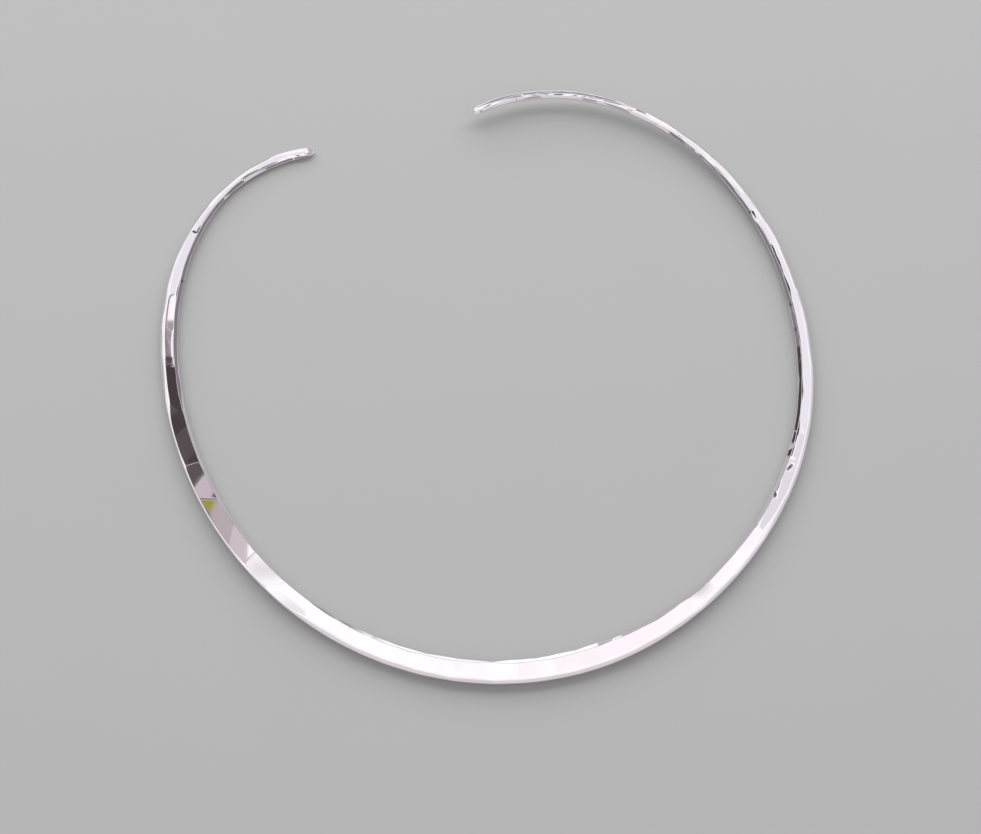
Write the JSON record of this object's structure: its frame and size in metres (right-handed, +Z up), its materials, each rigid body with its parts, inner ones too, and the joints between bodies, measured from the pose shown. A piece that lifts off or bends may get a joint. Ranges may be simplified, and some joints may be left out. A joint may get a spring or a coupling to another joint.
{
  "type": "silver torc",
  "caption": "Open, tapered neck ring of hand-hammered polished silver, widest at the front, with plain rounded ends and a gap at the back.",
  "frame": {"origin": "on the surface the ring lies on, under the middle of its outline", "axes": "+Z up from the surface, square to the plane of the ring; +X to the wearer's left when the wide front faces the wearer's front, across the ring's greatest width; +Y from the wide front towards the gap at the back"},
  "size_m": [0.1406, 0.1288, 0.0036],
  "materials": {
    "silver": "polished"
  },
  "bodies": {
    "root": {"torc": "silver"}
  },
  "joints": []
}
